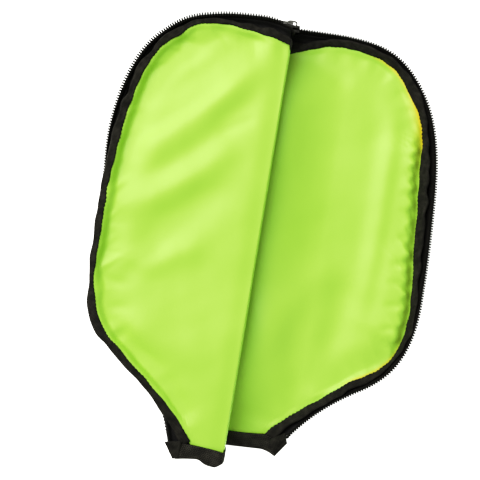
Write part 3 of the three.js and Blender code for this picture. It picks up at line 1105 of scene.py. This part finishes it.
def panel_half(side):
    """Outer and inner faces of half a padded panel. They meet along the rim."""
    spread = np.linspace(0, 1, PANEL_COLUMNS) ** 0.72
    swing = np.cos(math.pi * np.linspace(0, 1, PANEL_ROWS))
    climb = 0.5 - 0.5 * swing * np.abs(swing) ** -0.25
    right_s = PANEL_FROM + (CORNER_S - PANEL_FROM) * climb
    top_s = END - (END - CORNER_S) * spread
    right = rim.at(right_s, side.value("edge", right_s) - WALL_BACK)
    top = rim.at(top_s, side.value("edge", top_s) - WALL_BACK)
    top[0, 0] = 0.0
    neck = np.array([0, PANEL_NECK])
    bottom = neck + (right[0] - neck) * spread[:, None]
    spine = neck + (top[0] - neck) * climb[:, None]
    grid = patch(bottom, top, spine, right, spread, climb)
    flat = grid.reshape(-1, 2)
    s, out = rim.coordinates(flat)
    depth = np.maximum(side.value("edge", s) - WALL_BACK - out, 0)
    depth = np.minimum(depth, np.maximum(flat[:, 1] - PANEL_NECK, 0))
    curl = 1 - np.minimum(depth / CORNER_RUN, 1)
    outer = CORNER_DROP * (1 - np.sqrt(1 - curl ** 2))
    outer += 0.45 * bell(depth - SEAM_DEPTH, 0.8)
    neck_room = 1 - smooth((flat[:, 1] - 9) / 3)
    outer = np.maximum(outer, neck_room)
    outer += 0.12 * (1 + wobble2(flat, 30, side.seed)) * smooth(depth / 12)
    wall = (1 - smooth((depth - 1.2) / 2.6)) * smooth(depth / 0.9)
    inner = PANEL_THICK + (WALL_HIGH - PANEL_THICK) * wall
    inner = np.maximum(inner, outer + 0.02 + 0.5 * smooth(depth / 0.6))
    settled = side.settle(grid)
    return [side.lift(settled, high.reshape(grid.shape[:2])) for high in (outer, inner)]


def pad(name, outer, inner, flip):
    points, faces = pad_parts(outer, inner, flip)
    return mesh_object(name, points, faces, SHELL)


def back_panel():
    layers = []
    for right, left in zip(panel_half(back_right), panel_half(back_left)):
        right[:, 0] = (right[:, 0] + left[:, 0]) / 2
        layers.append(np.concatenate([left[:, :0:-1], right], 1))
    piece = pad("back_padded_panel", *layers, flip=False)
    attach(piece, "back")
    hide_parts("back_outer_shell", "back_foam")


def half_panel(name, side, body, replaced, flip):
    piece = pad(name, *panel_half(side), flip)
    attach(piece, body)
    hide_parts(*replaced)


# ---- neck tapes and zip ends

TAPE_THICK = 0.9
UNDERSIDE = 0.05
NECK_STEP = 1.2


def neck_rings(side, x, lower, upper):
    """Sections of the twill tape folded round the neck edge. lower and upper are its edges."""
    low = lower(x)
    up = upper(x)
    swell = wobble(x, 9, side.seed + 40) * 0.25
    front = 5.5 + swell
    section = [
        (up, front - 0.7),
        (up + 0.3, front - 0.1),
        (up - 0.6, front + 0.35),
        (up * 0.5 + low * 0.5, front + 0.45 + swell),
        (low + 1.6, front + 0.3),
        (low + 0.4, front - 0.7),
        (low, 3.0 + swell),
        (low + 0.3, 0.7),
        (low + 1.4, UNDERSIDE),
        (up - 2.5, UNDERSIDE),
        (up - 2.3, 0.8),
        (low + 1.9, TAPE_THICK),
        (low + 1.2, 3.0),
        (low + 2.0, front - 0.7),
    ]
    rings = [side.lift(np.stack([x, y], 1), np.broadcast_to(high, x.shape)) for y, high in section]
    return np.stack(rings, 1)


def neck_tapes():
    low_back = keyed([(-37, 0.6), (-30, 2.6), (-14, 3.8), (1, 3.5), (15, 4.0), (26, 4.5), (32, 3.1),
                      (36.5, 0.9)])
    up_back = keyed([(-37, 10.5), (-30, 12.5), (1, 13.7), (14, 14.3), (27, 15.2), (36.5, 12.5)])
    x = stations(-36.0, 36.5, NECK_STEP)
    back = loft("back_neck_binding", neck_rings(back_right, x, low_back, up_back), TWILL, flip=True)
    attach(back, "back")
    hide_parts("back_neck_tape")
    low_flap = keyed([(-31, -7.2), (-24, -6.0), (-16, -5.2), (-11, -7.6), (-4, -8.6), (-1.5, -7.4),
                      (0, -6.2)])
    up_flap = keyed([(-31, 4.6), (-20, 4.2), (-8, 3.4), (0, 2.5)])
    low_front = keyed([(-36, -0.5), (-14, -1.5), (0, -3.5)])
    up_front = keyed([(-36, 9.5), (-14, 8.5), (0, 6.5)])
    upper = neck_rings(flap_left, stations(-31.0, 0.0, NECK_STEP), low_flap, up_flap)
    lower = neck_rings(front_left, stations(0.0, -36.0, NECK_STEP), low_front, up_front)
    bend = around_fold(upper[-1], lower[0])
    front = loft("front_neck_binding", np.concatenate([upper, bend, lower]), TWILL, flip=True)
    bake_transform(front)
    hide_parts("front_left_neck_tape", "flap_neck_tape")


TAB_THICKNESS = 0.75
TAB_COLUMNS = 9


def looped_tab(name, base, corners, heights):
    """A tape end folded back over itself. corners are left and right of its fold, then of its end."""
    fold_left, fold_right, end_left, end_right = [np.array(c, float) for c in corners]
    low_end, low_fold, high_fold, high_end = heights
    bulge = (high_fold - low_fold) / 2
    t = np.linspace(0, 1, TAB_COLUMNS)[:, None]
    fold = fold_left * (1 - t) + fold_right * t
    end = end_left * (1 - t) + end_right * t
    outward = unit(fold - end) * bulge * 1.1
    reach = np.linspace(0.92, 0.0, 8)

    def row(xy, high):
        return np.concatenate([xy, np.full((TAB_COLUMNS, 1), base + high)], 1)

    rows = [row(fold * (1 - k) + end * k, low_fold * (1 - k) + low_end * k) for k in reach]
    for angle in np.linspace(0, math.pi, 7)[1:-1]:
        turn = low_fold + bulge * (1 - math.cos(angle))
        rows.append(row(fold + outward * math.sin(angle), turn))
    for k in reach[::-1]:
        sag = 0.35 * math.sin(math.pi * k)
        rows.append(row(fold * (1 - k) + end * k, high_fold * (1 - k) + high_end * k - sag))
    return sheet_from_grid(name, np.stack(rows), TAB_THICKNESS, TAB_TAPE, flip=True)


def zip_ends():
    right = looped_tab(
        "back_zip_end_fold", 0.0,
        [(31.8, 10.8), (41.6, 17.2), (36.6, 0.9), (43.6, 11.4)],
        (5.0, 5.6, 9.4, 6.6),
    )
    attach(right, "back")
    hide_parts("back_zip_end_tab")
    left = looped_tab(
        "flap_zip_end_fold", FLAP_BASE,
        [(-38.8, 2.6), (-28.4, 4.6), (-32.2, -7.4), (-29.2, -6.9)],
        (4.4, 4.8, 7.6, 6.3),
    )
    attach(left, "flap")
    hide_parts("flap_zip_end_tab")


def gusset():
    """The sewn side strip between the zip's lower end and the neck. It folds inwards."""
    s = stations(1.0, 66.0, 1.5)
    section = []
    for share in np.linspace(0, 1, 9):
        tuck = 2.6 + 2.2 * math.sin(math.pi * share)
        out = back_left.value("edge", s) - tuck + 0.2 * wobble(s, 9, 61 + share)
        section.append((out, 2.4 + (CASE_TOP - 4.8) * share))
    grid = back_left.rings(s, section)
    piece = sheet_from_grid("side_gusset_strip", grid, 0.8, SHELL)
    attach(piece, "back")
    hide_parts("side_gusset")


CRIMP_LENGTH = 2.8
CRIMP_HALF_WIDTH = 1.25
CRIMP_HALF_HEIGHT = 0.9


def squared(value):
    """Turns a circle's sine or cosine into that of a rounded square."""
    return math.copysign(abs(value) ** 0.6, value)


def end_crimp(name, side, start, body, replaced):
    """A small blackened clip, pressed round the coil where it ends near the neck."""
    along = np.linspace(0, 1, 9)
    s = start + CRIMP_LENGTH * along
    swell = np.sqrt(1 - (2 * along - 1) ** 6 * 0.6)
    centre_out = side.value("edge", s) - side.value("coil_back", s) - 0.4
    centre_high = side.value("coil_high", s)
    section = []
    for angle in np.linspace(0, 2 * math.pi, 16, endpoint=False):
        out = centre_out + CRIMP_HALF_WIDTH * squared(math.cos(angle)) * swell
        high = centre_high + CRIMP_HALF_HEIGHT * squared(math.sin(angle)) * swell
        section.append((out, high))
    piece = loft(name, side.rings(s, section), BLACK_NICKEL, flip=side.hand < 0)
    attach(piece, body)
    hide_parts(replaced)


METAL_NODES = ("slider_body", "slider_bridge", "pull_tab", "zip_bottom_stop")
ROUNDING = 0.25
SHARP_ANGLE = 40


def dress_metal():
    """The cast and crimped parts keep their CAD shape, with their edges rounded."""
    for name in METAL_NODES:
        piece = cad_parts[name]
        piece.data.materials.clear()
        piece.data.materials.append(BLACK_NICKEL if name == "slider_body" else NICKEL)
        bevel = piece.modifiers.new("rounded", "BEVEL")
        bevel.width = ROUNDING * MM
        bevel.segments = 3
        bevel.limit_method = "ANGLE"
        bevel.angle_limit = math.radians(SHARP_ANGLE)


back_panel()
half_panel("front_left_padded_panel", front_left, "back",
           ("front_left_outer_shell", "front_left_foam"), False)
half_panel("flap_padded_panel", flap_left, "flap", ("flap_outer_shell", "flap_foam"), True)
neck_tapes()
zip_ends()
gusset()
end_crimp("back_end_crimp", back_right, 14.5, "back", "back_zip_end_stop")
end_crimp("flap_end_crimp", flap_left, 11.0, "flap", "flap_zip_end_stop")
dress_metal()

back_lining()
front_lining()
back_band_pieces()
front_band_pieces()

# ---- floor and light


FLOOR_SIZE = 6.0
FLOOR_Z = -0.0005
FLOOR_GLOW = 1.3
SKY_TINT = (0.94, 1.0, 0.76, 1)
SKY_STRENGTH = 0.49
KEY_PLACE = (-1.18, 0.74, 1.86)
KEY_SIZE = 2.3
KEY_POWER = 60
KEY_TINT = (1.0, 0.95, 0.92)
WHITE_TONE = 0.90
TONES = ((0.05, 0.024), (0.12, 0.09), (0.30, 0.27), (0.60, 0.61))


def floor():
    n = Nodes("floor")
    n.set(Roughness=0.9, Base_Color=grey(0.95))
    n.set(Emission_Color=grey(1.0), Emission_Strength=FLOOR_GLOW)
    mesh = bpy.data.meshes.new("floor")
    corners = [(x * FLOOR_SIZE, y * FLOOR_SIZE, 0) for x, y in ((-1, -1), (1, -1), (1, 1), (-1, 1))]
    mesh.from_pydata(corners, [], [(0, 1, 2, 3)])
    mesh.materials.append(n.material)
    piece = add_object("floor", mesh)
    piece.location.z = FLOOR_Z


def soft_light(name, place, size, power, tint):
    data = bpy.data.lights.new(name, "AREA")
    data.shape = "DISK"
    data.size = size
    data.energy = power
    data.color = tint
    light = add_object(name, data)
    light.location = place
    light.rotation_euler = (-Vector(place)).to_track_quat("-Z", "Y").to_euler()


def sky():
    world = bpy.data.worlds.new("studio")
    bpy.context.scene.world = world
    world.use_nodes = True
    background = world.node_tree.nodes["Background"]
    background.inputs["Color"].default_value = SKY_TINT
    background.inputs["Strength"].default_value = SKY_STRENGTH


def soft_highlights():
    """Bright tones roll off gently, as they do on film."""
    view = bpy.context.scene.view_settings
    view.view_transform = "Standard"
    view.use_curve_mapping = True
    combined = view.curve_mapping.curves[3]
    combined.points[1].location = (1.0, WHITE_TONE)
    for brightness, tone in TONES:
        combined.points.new(brightness, tone)
    view.curve_mapping.update()


floor()
sky()
soft_light("key", KEY_PLACE, KEY_SIZE, KEY_POWER, KEY_TINT)
soft_highlights()
